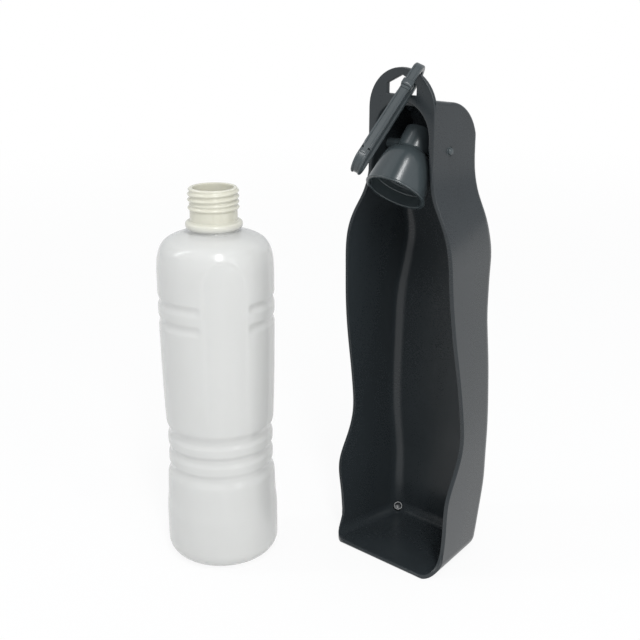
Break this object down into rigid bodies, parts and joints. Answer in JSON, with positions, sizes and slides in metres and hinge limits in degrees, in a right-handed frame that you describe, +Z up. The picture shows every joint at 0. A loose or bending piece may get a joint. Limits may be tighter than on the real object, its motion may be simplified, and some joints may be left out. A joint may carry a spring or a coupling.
{
  "type": "dog travel water bottle",
  "caption": "Squeeze bottle standing beside a tall drinking trough, whose hood holds a swinging screw cap with a spout and a snap hook on its hang tab.",
  "frame": {"origin": "centre of the trough's underside, on the floor straight below the cap's pivot", "axes": "+X along the trough's width, -Y out of its open side, +Z up along its length"},
  "size_m": [0.1491, 0.1376, 0.277],
  "materials": {
    "trough": "satin anthracite",
    "cap": "satin grey",
    "seal": "soft",
    "bottle": "milky translucent",
    "hook": "satin grey"
  },
  "bodies": {
    "trough": {"trough": "trough"},
    "cap": {"spout_cap": "cap", "cap_seal": "seal"},
    "hook": {"hook_body": "hook"},
    "gate": {"hook_gate": "hook"},
    "bottle": {"bottle": "bottle"}
  },
  "joints": [
    {"name": "cap_pivot", "type": "hinge", "parent": "trough", "child": "cap", "pos_m": [0, 0, 0.233], "axis": [1, 0, 0], "range_deg": [-55, 34]},
    {"name": "hook_swing", "type": "hinge", "parent": "trough", "child": "hook", "pos_m": [0.00752, -0.0131, 0.2702], "axis": [-0.8412, -0.3738, 0.3907], "range_deg": [0, 140]},
    {"name": "gate_hinge", "type": "hinge", "parent": "hook", "child": "gate", "pos_m": [0.01325, -0.05894, 0.23868], "axis": [-0.8412, -0.3738, 0.3907], "range_deg": [0, 7.5], "stiffness_Nm_per_rad": 0.04, "springref_deg": -22.92},
    {"name": "bottle_lift", "type": "slide", "parent": "trough", "child": "bottle", "axis": [0, 0, 1], "range_m": [0, 0.08]}
  ]
}
